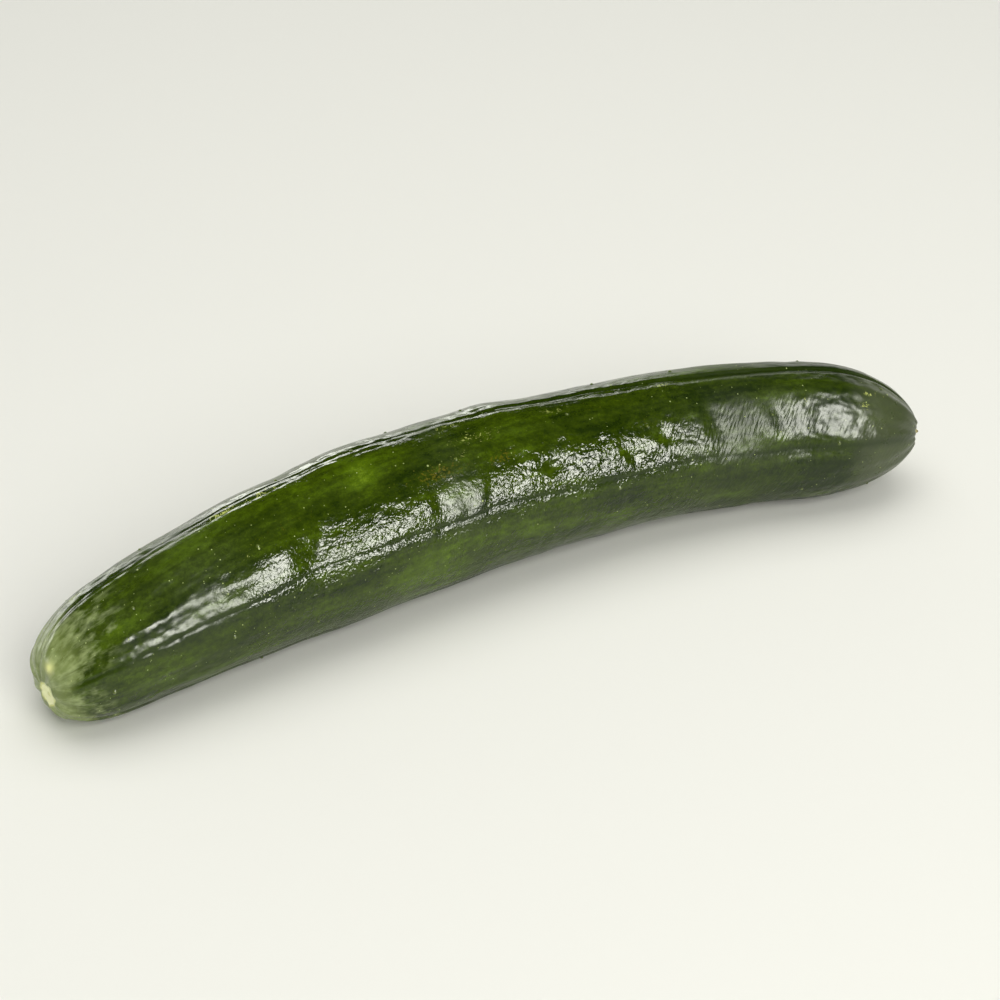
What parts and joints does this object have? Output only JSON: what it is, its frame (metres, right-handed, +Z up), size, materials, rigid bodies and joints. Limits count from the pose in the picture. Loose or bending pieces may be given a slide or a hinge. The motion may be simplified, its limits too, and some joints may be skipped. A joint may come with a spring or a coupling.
{
  "type": "cucumber",
  "caption": "Long slicing cucumber with a gentle bend, low grooves, small warts and a sunken scar at each end, lying on its side.",
  "frame": {"origin": "under the middle of the body, on the surface that the cucumber rests on", "axes": "+X along the length, towards the stem end; -X towards the blossom end; +Y towards the outer side of the bend; +Z up from the surface"},
  "size_m": [0.2964, 0.067, 0.0507],
  "materials": {
    "skin": "waxy dark green skin, glossy, mottled with lighter green and pale specks",
    "scar": "pale yellow-green dry scar tissue, matte"
  },
  "bodies": {
    "root": {"cucumber": "skin"}
  },
  "joints": []
}
